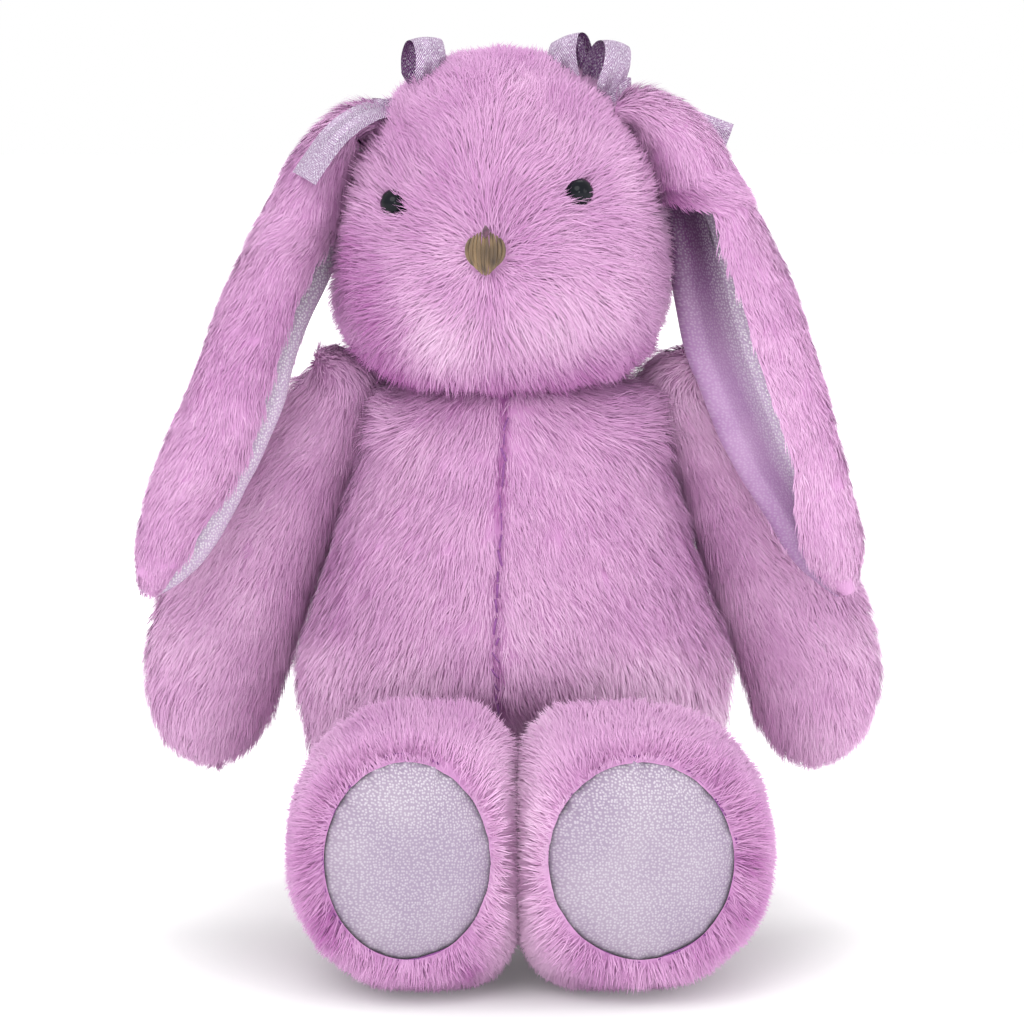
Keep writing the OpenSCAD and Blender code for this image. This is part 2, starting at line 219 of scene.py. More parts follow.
def foot(w):
    """The leg with its inner side squared off, so the two feet press together."""
    shape = leg(w)

    def f(t, a):
        p = shape(t, a)
        x, h = p[:, 0] + w + 0.4, np.clip(np.abs(p[:, 2] - 41.8) / 42.5, 0, 0.97)
        round_, square = np.sqrt(1 - h ** 2), (1 - h ** 3.8) ** (1 / 3.8)
        grow = 1 + np.minimum(square / round_ - 1, 0.75) * np.clip((8.1 - t) / 1.1, 0, 1)
        p[:, 0] = np.where(x > 0, x * grow, x) - w - 0.4
        return p
    return f


def turn_z(deg):
    c, s = math.cos(math.radians(deg)), math.sin(math.radians(deg))
    return np.array([[c, -s, 0], [s, c, 0], [0, 0, 1]])


MIRROR = np.diag([-1.0, 1, 1])
SAME = np.eye(3)
NECK_TURN = turn_z(-5)
NECK_SHIFT = NECK_TURN @ np.array([-2.8, 0, 0]) + [0, 0, 130]


class Skin:
    """A surface set in from the fur's outline by a depth, with its place in the frame."""

    def __init__(self, f, depth, matrix=SAME, shift=(0, 0, 0)):
        self.f, self.depth, self.m, self.o = f, depth, matrix, np.array(shift, float)
        self.flip = np.linalg.det(matrix) < 0

    def at(self, t, a, share=1.0):
        t, a = np.asarray(t, float), np.asarray(a, float)
        p = self.f(t, a)
        du = self.f(t + 0.02, a) - self.f(t - 0.02, a)
        da = self.f(t, a + 1) - self.f(t, a - 1)
        n = unit(np.cross(da, du))
        d = self.depth(p, t, a) if callable(self.depth) else np.full(len(t), float(self.depth))
        q = p - n * (d * share)[:, None]
        return (q @ self.m.T + self.o, n @ self.m.T, unit(du) @ self.m.T,
                np.linalg.norm(du, axis=1) / 0.04, np.linalg.norm(da, axis=1) / 2)


# ---------------------------------------------------------------- numbers in space

_lattice = np.random.default_rng(3).uniform(-1, 1, (32, 32, 32, 3))


def wobble(p, size):
    """Smooth random vector field over space, features about size mm."""
    q = np.asarray(p) / size
    i = np.floor(q).astype(int)
    f = q - i
    f = f * f * (3 - 2 * f)
    out = 0
    for dx in (0, 1):
        for dy in (0, 1):
            for dz in (0, 1):
                w = (np.abs(1 - dx - f[:, 0]) * np.abs(1 - dy - f[:, 1]) * np.abs(1 - dz - f[:, 2]))
                cell = (i[:, 0] + dx) % 32, (i[:, 1] + dy) % 32, (i[:, 2] + dz) % 32
                out = out + w[:, None] * _lattice[cell]
    return out


def bump(x, w):
    return np.exp(-(x / w) ** 2)


# ---------------------------------------------------------------- meshes

def build_mesh(name, verts, quads, tris=None, uv=None, normals=None, material=None):
    """verts in mm; uv and normals are per vertex; quads and tris are index arrays."""
    quads = np.asarray(quads, np.int64).reshape(-1, 4)
    tris = np.zeros((0, 3), np.int64) if tris is None else np.asarray(tris, np.int64).reshape(-1, 3)
    loops = np.concatenate([quads.ravel(), tris.ravel()]).astype(np.int32)
    starts = np.concatenate([np.arange(len(quads)) * 4, len(quads) * 4 + np.arange(len(tris)) * 3])
    me = bpy.data.meshes.new(name)
    me.vertices.add(len(verts))
    me.vertices.foreach_set("co", (np.asarray(verts) * MM).astype(np.float32).ravel())
    me.loops.add(len(loops))
    me.loops.foreach_set("vertex_index", loops)
    me.polygons.add(len(starts))
    me.polygons.foreach_set("loop_start", starts.astype(np.int32))
    me.polygons.foreach_set("use_smooth", np.ones(len(starts), bool))
    if uv is not None:
        layer = me.uv_layers.new(name=UV_NAME)
        layer.data.foreach_set("uv", np.asarray(uv, np.float32)[loops].ravel())
    me.update(calc_edges=True)
    me.validate()
    if normals is not None:
        me.normals_split_custom_set_from_vertices(unit(normals).astype(np.float32))
    if material is not None:
        me.materials.append(material)
    obj = bpy.data.objects.new(name, me)
    scene.collection.objects.link(obj)
    return obj


def grid_quads(rows, cols, start=0, flip=False):
    i, k = np.meshgrid(np.arange(rows - 1), np.arange(cols - 1), indexing="ij")
    a = (i * cols + k).ravel() + start
    q = np.stack([a, a + 1, a + cols + 1, a + cols], 1)
    return q[:, ::-1] if flip else q


def facing(quads, verts, normals):
    """The same quads, wound so that they face the way the normals point."""
    a, b, c = (verts[quads[:, i]] for i in (0, 1, 3))
    if (np.cross(b - a, c - a) * normals[quads[:, 0]]).sum() < 0:
        return quads[:, ::-1]
    return quads


def tube(path, radius, sides=8):
    """Round tube along a path of points, closed by its taper; returns verts and quads."""
    path = np.asarray(path, float)
    d = unit(np.gradient(path, axis=0))
    ref = np.array([0, 1.0, 0]) if abs(d[:, 1]).mean() < 0.8 else np.array([0, 0, 1.0])
    s = unit(np.cross(d, ref))
    g = np.cross(d, s)
    q = np.linspace(0, 2 * np.pi, sides + 1)
    r = np.broadcast_to(radius, (len(path),))
    ring = np.cos(q)[None, :, None] * s[:, None] + np.sin(q)[None, :, None] * g[:, None]
    v = path[:, None] + r[:, None, None] * ring
    return v.reshape(-1, 3), grid_quads(len(path), sides + 1)


def merge(parts):
    verts, quads, n = [], [], 0
    for v, q in parts:
        verts.append(v)
        quads.append(np.asarray(q) + n)
        n += len(v)
    return np.concatenate(verts), np.concatenate(quads)


# ---------------------------------------------------------------- materials

def lin(rgb):
    c = np.array(rgb, float) / 255
    c = np.where(c <= 0.04045, c / 12.92, ((c + 0.055) / 1.055) ** 2.4)
    return (float(c[0]), float(c[1]), float(c[2]), 1.0)


class Mat:
    """Small helper for building a node material around one Principled shader."""

    def __init__(self, name, **values):
        self.mat = bpy.data.materials.new(name)
        self.mat.use_nodes = True
        self.tree = self.mat.node_tree
        self.bsdf = self.tree.nodes["Principled BSDF"]
        for k, v in values.items():
            self.bsdf.inputs[k.replace("_", " ")].default_value = v

    def node(self, kind, inputs=None, **props):
        n = self.tree.nodes.new(kind)
        for k, v in props.items():
            setattr(n, k, v)
        for k, v in (inputs or {}).items():
            if isinstance(v, bpy.types.NodeSocket):
                self.tree.links.new(v, n.inputs[k])
            else:
                n.inputs[k].default_value = v
        return n

    def math(self, op, a, b=0.0, clamp=False):
        return self.node("ShaderNodeMath", {0: a, 1: b}, operation=op, use_clamp=clamp).outputs[0]

    def ramp(self, fac, stops, smooth=False):
        n = self.node("ShaderNodeValToRGB", {0: fac})
        e = n.color_ramp.elements
        while len(e) < len(stops):
            e.new(0.5)
        for el, (pos, col) in zip(e, stops):
            el.position = pos
            el.color = col
        if smooth:
            n.color_ramp.interpolation = "EASE"
        return n.outputs[0]

    def mix(self, fac, a, b, mode="MIX"):
        n = self.node("ShaderNodeMix", {0: fac, 6: a, 7: b}, data_type="RGBA", blend_type=mode)
        return n.outputs[2]

    def link(self, out, name):
        self.tree.links.new(out, self.bsdf.inputs[name])

    def bump(self, height, strength, distance):
        n = self.node("ShaderNodeBump", {"Height": height, "Strength": strength, "Distance": distance})
        self.link(n.outputs[0], "Normal")

    def place(self):
        return self.node("ShaderNodeTexCoord").outputs["Object"]


def fur_material():
    """Colour from the strand's tone (U), which carries the panels' painted light and shade, and the distance
    from root to tip (V); roots are darker as painted shade deep in the pile.
    """
    m = Mat("lilac_fur", Roughness=0.62, Specular_IOR_Level=0.35, Sheen_Weight=0.35, Sheen_Roughness=0.45,
            Sheen_Tint=lin((240, 205, 240)))
    uv = m.node("ShaderNodeUVMap", uv_map=UV_NAME).outputs[0]
    xyz = m.node("ShaderNodeSeparateXYZ", {0: uv})
    tone, along = xyz.outputs[0], xyz.outputs[1]
    tip = m.ramp(tone, [(0.0, lin((118, 56, 118))), (0.22, lin((170, 94, 162))),
                        (0.45, lin((201, 147, 194))), (0.65, lin((218, 171, 210))),
                        (0.82, lin((231, 193, 224))), (1.0, lin((245, 212, 237)))])
    root = m.ramp(tone, [(0.0, lin((100, 46, 102))), (0.22, lin((146, 82, 142))),
                         (0.45, lin((190, 134, 183))), (0.7, lin((212, 162, 205))),
                         (1.0, lin((232, 188, 223)))])
    m.link(m.mix(m.ramp(along, [(0.0, (0, 0, 0, 1)), (0.75, (1, 1, 1, 1))], True), root, tip), "Base Color")
    return m.mat


def foil_material(name, base, dark, dots=1.0, shade=None, lit_band=(0, 1)):
    """Smooth lavender knit with fine metallic foil dots."""
    m = Mat(name, Roughness=0.5, Sheen_Weight=0.2)
    at = m.place()
    xyz = m.node("ShaderNodeSeparateXYZ", {0: at})
    slant = m.math("ADD", xyz.outputs[0], m.math("MULTIPLY", xyz.outputs[1], 0.7))
    flat = m.node("ShaderNodeCombineXYZ", {0: slant, 1: xyz.outputs[2]}).outputs[0]
    cells = m.node("ShaderNodeTexVoronoi", {"Vector": flat, "Scale": 1150.0, "Randomness": 0.75},
                   voronoi_dimensions="2D")
    cell = cells.outputs["Distance"]
    glint = m.node("ShaderNodeSeparateColor", {0: cells.outputs["Color"]}).outputs[0]
    dot = m.ramp(cell, [(0.2, (1, 1, 1, 1)), (0.42, (0, 0, 0, 1))])
    level = m.ramp(glint, [(0.0, (0.65 * dots,) * 3 + (1,)), (1.0, (dots,) * 3 + (1,))])
    shine = m.math("MULTIPLY", dot, level)
    soft = m.node("ShaderNodeTexNoise", {"Vector": at, "Scale": 55.0, "Detail": 3.0}).outputs["Fac"]
    cloth = m.mix(m.ramp(soft, [(0.35, (0, 0, 0, 1)), (0.65, (1, 1, 1, 1))]), dark, base)
    # Painted highlight: the dots glint more towards the top of the sole pads.
    top_glint = m.node("ShaderNodeMapRange", {0: xyz.outputs[2], 1: 0.045, 2: 0.066, 3: 0.62, 4: 1.0}).outputs[0]
    shine = m.math("MULTIPLY", shine, top_glint)
    if shade:
        # Painted shade: the lining's cloth darkens towards the top of the ear, to shade[2].
        height = m.node("ShaderNodeSeparateXYZ", {0: at}).outputs[2]
        high = m.node("ShaderNodeMapRange", {0: height, 1: shade[0], 2: shade[1]}).outputs[0]
        across_along = m.node("ShaderNodeUVMap", uv_map=UV_NAME).outputs[0]
        place = m.node("ShaderNodeSeparateXYZ", {0: across_along}).outputs[0]
        # Painted light: a lit band across the lining, with paler cloth, brighter dots and less of the painted
        # shade.
        lit = m.node("ShaderNodeMapRange", {0: place, 1: lit_band[0], 2: lit_band[1], 3: 1.0, 4: 0.0}).outputs[0]
        cloth = m.mix(lit, cloth, lin((202, 182, 208)))
        high = m.math("MULTIPLY", high, m.math("SUBTRACT", 1.0, m.math("MULTIPLY", lit, 0.7)))
        cloth = m.mix(high, cloth, shade[2])
        shine = m.math("MULTIPLY", shine, m.math("ADD", 0.35, m.math("MULTIPLY", lit, 2.2)))
    m.link(m.mix(shine, cloth, lin((240, 238, 240))), "Base Color")
    m.link(m.math("MULTIPLY", shine, 0.35), "Metallic")
    m.link(m.ramp(shine, [(0.0, (0.55, 0.55, 0.55, 1)), (1.0, (0.22, 0.22, 0.22, 1))]), "Roughness")
    knit = m.node("ShaderNodeTexNoise", {"Vector": at, "Scale": 1900.0, "Detail": 2.0}).outputs["Fac"]
    m.bump(knit, 0.35, 0.0004)
    return m.mat


def ribbon_material():
    """Metallic silver-lilac ribbon: herringbone of fine diagonal threads, from its own length and width."""
    m = Mat("lurex_ribbon", Roughness=0.38, Metallic=0.6)
    uv = m.node("ShaderNodeUVMap", uv_map=UV_NAME).outputs[0]
    xyz = m.node("ShaderNodeSeparateXYZ", {0: uv})
    across = m.math("MULTIPLY", xyz.outputs[0], 100.0)
    along = m.math("MULTIPLY", xyz.outputs[1], 200.0)
    zig = m.math("PINGPONG", across, 2.5)
    thread = m.math("SINE", m.math("MULTIPLY", m.math("ADD", along, zig), 2 * math.pi / 0.62))
    line = m.ramp(m.math("MULTIPLY_ADD", thread, 0.5, False), [(0.0, (0, 0, 0, 1)), (1.0, (1, 1, 1, 1))])
    spark = m.node("ShaderNodeTexNoise", {"Vector": uv, "Scale": 420.0, "Detail": 1.0}).outputs["Fac"]
    tone = m.mix(line, lin((146, 112, 154)), lin((192, 172, 196)))
    # Painted shade: back faces turn darker purple.
    back_face_shade = m.node("ShaderNodeNewGeometry").outputs["Backfacing"]
    tone = m.mix(back_face_shade, lin((126, 78, 134)), tone)
    # Painted glints: pale flecks from noise.
    painted_glint = m.ramp(spark, [(0.5, (0, 0, 0, 1)), (0.72, (1, 1, 1, 1))])
    m.link(m.mix(painted_glint, tone, lin((240, 236, 246))), "Base Color")
    m.bump(thread, 0.5, 0.0003)
    return m.mat


def thread_material(name, low, high, rough=0.45, stretch=1.0):
    m = Mat(name, Roughness=rough, Sheen_Weight=0.3)
    at = m.node("ShaderNodeVectorMath", {0: m.place(), 1: (1, 1, stretch)}, operation="MULTIPLY").outputs[0]
    n = m.node("ShaderNodeTexNoise", {"Vector": at, "Scale": 700.0, "Detail": 3.0}).outputs["Fac"]
    m.link(m.mix(m.ramp(n, [(0.3, (0, 0, 0, 1)), (0.7, (1, 1, 1, 1))]), low, high), "Base Color")
    m.bump(n, 0.4, 0.0003)
    return m.mat


FUR = fur_material()
FOIL = foil_material("foil_dot_knit", lin((156, 143, 161)), lin((146, 131, 153)), 0.45)
# Ear linings: painted shade to dark purple towards the top, and a painted lit band across each.
LINING = {side: foil_material(f"foil_dot_lining_{side}", lin((172, 134, 176)), lin((158, 117, 164)), 0.34,
                              (0.168, 0.208, lin((92, 46, 94))), lit_band)
          for side, lit_band in (("left", (0.9, 1.2)), ("right", (0.7, 0.82)))}
RIBBON = ribbon_material()
NOSE = thread_material("nose_yarn", lin((46, 30, 20)), lin((134, 108, 74)), stretch=0.1)
SEAM = thread_material("seam_thread", lin((104, 44, 112)), lin((142, 76, 148)), 0.7)
FILL = thread_material("polyester_fibre", lin((225, 225, 222)), lin((250, 250, 248)), 0.8)
CLOTH = thread_material("pouch_cloth", lin((200, 200, 200)), lin((228, 228, 228)), 0.8)


# ---------------------------------------------------------------- fur

ALONG = np.array([0.0, 0.34, 0.7, 1.0])
TAPER = np.array([0.95, 1.0, 0.68, 0.0])


def fur(name, node, body, skin, span, arc, count, comb, length, lift=(38, 10), tone=0.5, seed=1,
        width=0.27, clump=11, spread=1.6, gather=0.38, boost=None, keep=None,
        droop=0.12, base=0.72, wild=0.14, swirl=0.3):
    """One furry panel: its backing surface and tapered strands in small clumps, as one mesh."""
    rng = np.random.default_rng(seed)
    many = max(2000, count // clump * 6)
    t, a = rng.uniform(*span, many), rng.uniform(*arc, many)
    _, _, _, lt, la = skin.at(t, a)
    area = lt * la
    pick = rng.choice(many, count // clump, replace=False, p=area / area.sum())
    t, a = t[pick], a[pick]
    n_c = len(t)

    def paths(t, a, stray, size, s):
        p, n, along, _, _ = skin.at(t, a)
        c = comb(p, n, along)
        c = unit(c - n * (c * n).sum(1, keepdims=True))
        side = np.cross(n, c)
        w = wobble(p, 15.0) * swirl + wobble(p, 6.0) * 0.28 + wobble(p, 2.8) * 0.16
        c = unit(c + side * (w[:, :1] + stray[:, :1]) + c * 0.0)
        up = np.radians(lift[0]) + 0.25 * w[:, 1] + 0.2 * stray[:, 1]
        tip = np.radians(lift[1]) + 0.3 * w[:, 2] + 0.25 * stray[:, 2]
        if boost:
            up, tip = up + boost(p), tip + 0.6 * boost(p)
        d0 = c * np.cos(up)[:, None] + n * np.sin(up)[:, None]
        d1 = c * np.cos(tip)[:, None] + n * np.sin(tip)[:, None] + [0, 0, -droop]
        far = (length(p) if callable(length) else np.full(len(p), float(length))) * size
        f = far[:, None, None]
        s = s[None, :, None]
        return p, n, p[:, None] + f * (d0[:, None] * (s - s * s / 2) + d1[:, None] * s * s / 2)

    stray_c = rng.normal(0, wild, (n_c, 3))
    size_c = rng.uniform(0.75, 1.2, n_c)
    _, _, mid = paths(t, a, stray_c, size_c, ALONG)
    who = np.repeat(np.arange(n_c), clump)
    n_s = len(who)
    _, _, _, lt, la = skin.at(t, a)
    ts = np.clip(t[who] + rng.normal(0, spread, n_s) / np.maximum(lt[who], 1e-3), *span)
    as_ = np.clip(a[who] + rng.normal(0, spread, n_s) / np.maximum(la[who], 1e-3), *arc)
    stray = stray_c[who] + rng.normal(0, 0.1, (n_s, 3))
    p, n, path = paths(ts, as_, stray, size_c[who] * rng.uniform(0.8, 1.12, n_s), ALONG)
    hold = gather * np.where(rng.random(n_s) < 0.35, 0.1, rng.uniform(0.6, 1.1, n_s))
    hold = hold[:, None, None] * (ALONG ** 1.4)[None, :, None]
    path = path + (mid[who] - path) * hold
    wave = rng.normal(0, 0.35, (n_s, 1, 3)) * np.sin(ALONG * 4.5 + 1)[None, :, None] * ALONG[None, :, None]
    path = path + wave
    path[..., 2] = np.maximum(path[..., 2], 0.35)
    if keep is not None:
        ok = keep(p, path)
        who, p, n, path, ts, as_ = who[ok], p[ok], n[ok], path[ok], ts[ok], as_[ok]
        n_s = len(who)

    d = unit(np.gradient(path, axis=1))
    side = unit(np.cross(d, n[:, None]))
    roll = rng.uniform(-0.45, 0.45, (n_s, 1, 1))
    side = side * np.cos(roll) + np.cross(d, side) * np.sin(roll)
    face = np.cross(side, d)
    w = width * rng.uniform(0.7, 1.35, (n_s, 1, 1)) * TAPER[None, :, None]
    left, right = path - side * w / 2, path + side * w / 2
    verts = np.concatenate([np.stack([left[:, :3], right[:, :3]], 2).reshape(n_s, 6, 3), path[:, 3:]], 1)
    normal = unit(n[:, None] + 0.12 * face)
    normal = np.concatenate([np.repeat(normal[:, :3], 2, axis=1), normal[:, 3:]], 1)
    shade = tone(p) if callable(tone) else np.full(n_s, float(tone))
    clump_shade = rng.normal(0, 0.035, n_c)
    shade = shade + clump_shade[who] + rng.normal(0, 0.04, n_s) + wobble(p, 13.0)[:, 0] * 0.1
    shade = np.clip(shade, 0.01, 0.985)
    u = np.repeat(shade[:, None], 7, axis=1) + np.array([-1, 1, -1, 1, -1, 1, 0]) * 0.004
    v = np.broadcast_to(np.array([0.02, 0.02, 0.34, 0.34, 0.7, 0.7, 0.98]), (n_s, 7))
    uv = np.stack([u, v], 2).reshape(-1, 2)
    first = np.arange(n_s)[:, None] * 7
    quads = np.concatenate([first + [0, 1, 3, 2], first + [2, 3, 5, 4]])
    tris = first + [4, 5, 6]
    verts, normal = verts.reshape(-1, 3), normal.reshape(-1, 3)

    if base is not None:
        nt, na = 80, 56
        tt, aa = np.meshgrid(np.linspace(*span, nt), np.linspace(*arc, na), indexing="ij")
        bp, bn, _, _, _ = skin.at(tt.ravel(), aa.ravel(), base)
        bp = bp + bn * wobble(bp, 2.4)[:, :1] * 0.45
        bshade = tone(bp) if callable(tone) else np.full(len(bp), float(tone))
        # Painted shade: the backing takes 0.8 of the strands' tone and a colour near the root, like the
        # shaded depths of the pile.
        shaded_backing_tone = np.clip(bshade * 0.8 + wobble(bp, 5.0)[:, 1] * 0.05, 0.01, 0.98)
        buv = np.stack([shaded_backing_tone, np.full(len(bp), 0.3)], 1)
        buv = buv + np.stack([tt.ravel(), aa.ravel()], 1) * 1e-5
        bp[:, 2] = np.maximum(bp[:, 2], 0.3)
        quads = np.concatenate([quads, facing(grid_quads(nt, na), bp, bn) + len(verts)])
        verts, normal = np.concatenate([verts, bp]), np.concatenate([normal, bn])
        uv = np.concatenate([uv, buv])
    obj = build_mesh(name, verts, quads, tris, uv, normal, FUR)
    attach(obj, body)
    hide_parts(node)
    return obj


# ---------------------------------------------------------------- torso

torso_skin = Skin(upright(TORSO), 5.0)


def seam_x(z):
    """Where the belly seam runs, a little to one side of the middle."""
    return -4.6 + 1.9 * ((z - 100) / 60) ** 2


def torso_comb(p, n, along):
    x = p[:, 0] - seam_x(p[:, 2]) * (p[:, 1] < 0)
    top = np.clip((p[:, 2] - 148) / 10, 0, 1) * np.clip((np.abs(x) - 18) / 12, 0, 1)
    return np.stack([0.28 * np.tanh(x / 6) + 0.006 * x + 0.9 * np.sign(x) * top, 0 * x, 1.9 * top - 1], 1)


def torso_length(p):
    x, z = p[:, 0], p[:, 2]
    front = np.where(p[:, 1] < 0, 1 - 0.3 * bump(x - seam_x(z), 1.5), 1)
    wide = np.clip((np.abs(x) - 42) / 15, 0, 1) * np.clip((125 - z) / 30, 0, 1)
    top = np.clip((z - 148) / 10, 0, 1) * np.clip((np.abs(x) - 18) / 12, 0, 1)
    shoulder = 5 + 3 * (x > 0) + 3.5 * bump(x - 37, 6)
    return 8.5 * front + shoulder * top + 2.0 * (z < 30) + wide * (1.5 + 2.0 * (x > 0))


def torso_tone_and_lighting(p):
    x, y, z = p[:, 0], p[:, 1], p[:, 2]
    shade = 0.56 + 0.06 * np.clip((-y - 20) / 40, -0.3, 1) + 0.1 * np.clip((110 - z) / 50, 0, 1)
    # Painted shade: darker at the sides by the arms, under the head and low between the legs.
    shade = shade - 0.12 * np.clip((np.abs(x) - 38) / 16, 0, 1) * (z > 95) * (y < 25)
    shade = shade - 0.12 * np.clip((z - 155) / 12, 0, 1)
    shade = shade - 0.06 * np.clip((22 - np.abs(x)) / 22, 0, 1) * np.clip((66 - z) / 12, 0, 1) * (y < 0)
    # Painted light: lighter low on the right, above the right foot.
    shade = shade + 0.32 * np.clip(x / 25, 0, 1) * np.clip((100 - z) / 30, 0, 1)
    return shade - 0.3 * bump(x - seam_x(z), 1.1) * (y < 0)


for k, (tag, arc, body_count) in enumerate([
        ("front_left", (-180, -93.8), 37000), ("front_right", (-93.8, 0), 37800),
        ("back_left", (90, 180), 22000), ("back_right", (0, 90), 22000)]):
    fur(f"torso_{tag}_fur", f"torso_{tag}", "torso", torso_skin, (1.02, 10.2), arc, body_count, torso_comb,
        torso_length, (36, 8), torso_tone_and_lighting, seed=11 + k)

# ---------------------------------------------------------------- head

NOSE_AT = np.array([0.0, -55.6, 78.0])
NOSE_WORLD = NECK_TURN @ NOSE_AT + NECK_SHIFT


def head_depth(p, t, a):
    return 5.2 - 2.4 * bump(np.linalg.norm(p - NOSE_AT, axis=1), 15)


head_skin = Skin(upright(HEAD, 6.0), head_depth, NECK_TURN, NECK_SHIFT)


def eye_frame(name):
    """Bead centre from the CAD bead's own mesh box, and its outward axis from given angles."""
    lo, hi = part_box(name)
    side = -1 if name.endswith("left") else 1
    ang = math.radians(38 if side < 0 else 33.5) * side
    axis = np.array([math.sin(ang), -math.cos(ang), 0]) * math.cos(math.radians(14))
    axis = NECK_TURN @ np.array([axis[0], axis[1], math.sin(math.radians(14))])
    centre = np.array([hi[0] - 0.0042 if side > 0 else lo[0] + 0.0042, lo[1] + 0.0042, hi[2] - 0.0042]) / MM
    return centre, axis


EYES = [eye_frame("eye_left"), eye_frame("eye_right")]
# Part of each bead the fur leaves bare: offset across and up, half width, half height, tilt
EYE_OPENING = [(0.3, -0.7, 2.5, 3.6, -0.4), (0.0, 1.0, 4.3, 1.7, 0.1)]


def head_comb(p, n, along):
    v = p - NOSE_WORLD
    back = np.clip((p[:, 1] + 5) / 30, 0, 1)[:, None]
    v = unit(v) * (1 - back) + back * np.array([0, 0.2, -1.0])
    top = np.clip((p[:, 2] - 238) / 25, 0, 1)[:, None]
    return v + np.array([0, 0.5, 0.1]) * top


def head_length(p):
    near = np.linalg.norm(p - NOSE_WORLD, axis=1)
    size = 12.5 - 7.0 * bump(near, 15) - 4.5 * np.clip((p[:, 2] - 225) / 35, 0, 1)
    for c, _ in EYES:
        size = size * (1 - 0.12 * bump(np.linalg.norm(p - c, axis=1), 7))
    return size * (1 - 0.3 * np.clip((p[:, 0] - 22) / 20, 0, 1) * np.clip((207 - p[:, 2]) / 16, 0, 1))


def head_tone_and_lighting(p):
    x, y, z = p[:, 0], p[:, 1], p[:, 2]
    face = np.clip(-y / 45, 0, 1)
    near = np.linalg.norm(p - NOSE_WORLD, axis=1)
    # Painted highlight on the cheeks, and a little over the whole face.
    cheek_highlight = bump(near - 30, 16) * np.clip((215 - z) / 20, 0, 1) * np.clip((z - 168) / 12, 0, 1)
    shade = 0.5 + 0.2 * cheek_highlight * face * (1 - np.clip((-x - 20) / 10, 0, 1)) + 0.04 * face
    # Painted light on the right side, painted shade on the left below the ears.
    shade = (shade + 0.06 * np.clip((x - 12) / 20, 0, 1)
             - 0.15 * np.clip((-x - 12) / 20, 0, 1) * np.clip((230 - z) / 25, 0, 1))
    # Painted shade under the head and on the chin.
    shade = shade - 0.16 * np.clip((178 - z) / 8, 0, 1) * (y > -25)
    chin_shade = np.clip((190 - z) / 11, 0, 1)
    shade = shade - 0.3 * chin_shade * (1 - 0.5 * np.clip(np.abs(x) / 30, 0, 1)) + wobble(p, 8.0)[:, 1] * 0.07
    # Painted highlight on the muzzle, below the nose and to its left.
    shade = shade + 0.14 * bump(x - NOSE_WORLD[0] + 8, 8) * bump(z - NOSE_WORLD[2] + 20, 12) * face
    shade = shade - 0.12 * bump(x - NOSE_WORLD[0] - 1, 2.5) * np.clip((NOSE_WORLD[2] - z) / 10, 0, 1) * face
    return shade - 0.5 * bump(np.linalg.norm(p - NOSE_WORLD - [0, 0, 7], axis=1), 3.2)


def over_eyes(p):
    """Hairs beside the eyes stand up enough to fall over the beads."""
    return 0.75 * sum(bump(np.linalg.norm(p - c, axis=1), 6.5) for c, _ in EYES)


def clear_of_face(p, path):
    ok = np.ones(len(p), bool)
    lot = np.random.default_rng(len(p)).random(len(p))
    for (c, axis), (du, dv, ru, rv, tilt) in zip(EYES, EYE_OPENING):
        across = unit(np.cross([0, 0, 1.0], axis))
        up = np.cross(axis, across)
        v = path - c
        x, z = v @ across - du, v @ up - dv
        x, z = x * math.cos(tilt) + z * math.sin(tilt), z * math.cos(tilt) - x * math.sin(tilt)
        inside = (np.hypot(x / ru, z / rv) < 1) & (v @ axis > -2)
        ok &= ~inside.any(axis=1) | ((z.min(axis=1) < -1.6) & (lot < 0.3)) | (lot < 0.02)
    v = path - (NOSE_WORLD + [0, 0, 0.8])
    ok &= ~((np.hypot(v[..., 0] / 4.7, v[..., 2] / 5.4) < 1) & (v[..., 1] < 5)).any(axis=1) | (lot > 0.985)
    return ok


for k, (node, arc, n_strands) in enumerate([
        ("face_left", (-180, -90), 38000), ("face_right", (-90, 0), 38000),
        ("head_back_left", (90, 180), 20000), ("head_back_right", (0, 90), 20000)]):
    fur(f"{node}_fur", node, "head", head_skin, (0.0, 9.0), arc, n_strands, head_comb, head_length, (42, 14),
        head_tone_and_lighting, seed=31 + k, width=0.33, clump=14, spread=2.0, gather=0.42, boost=over_eyes,
        keep=clear_of_face, droop=0.1, wild=0.24, swirl=0.7)

# ---------------------------------------------------------------- arms

for k, (side, matrix) in enumerate([("left", SAME), ("right", MIRROR)]):
    sign = -1 if side == "left" else 1
    arm_skin = Skin(limb(ARM), lambda p, t, a: 4.6 * np.clip((t - 0.2) / 2.5, 0.12, 1), matrix)

    def arm_tone_and_lighting(p, sign=sign):
        inner = np.clip((78 - np.abs(p[:, 0])) / 26, 0, 1)
        low = np.clip((p[:, 2] - 70) / 70, 0, 1)
        # Painted shade on the inner side next to the body, stronger higher up; painted light on the arm tops,
        # more on the right arm.
        return 0.64 - 0.14 * inner * low + (0.16 if sign > 0 else 0.06) * np.clip((p[:, 2] - 130) / 20, 0, 1)

    for part, arc, n_strands in (("front", (-180, 0), 26000), ("back", (0, 180), 16000)):
        fur(f"arm_{side}_{part}_fur", f"arm_{side}_{part}", f"{side}_arm", arm_skin, (0.3, 9.9), arc,
            n_strands,
            lambda p, n, along, s=sign: along + np.array([0.25 * s, 0, -0.1])
            + np.clip((p[:, 2:] - 164) / 8, 0, 1) * [-1.3 * s, 0, 0.7],
            lambda p: ((9.5 - 2.5 * np.clip((66 - p[:, 2]) / 12, 0, 1))
                       * np.clip((181 - p[:, 2]) / 13, 0.4, 1)),
            (34, 8), arm_tone_and_lighting,
            seed=51 + k * 2 + (part == "back"))

# ---------------------------------------------------------------- legs and sole pads

PAD_RINGS = 26


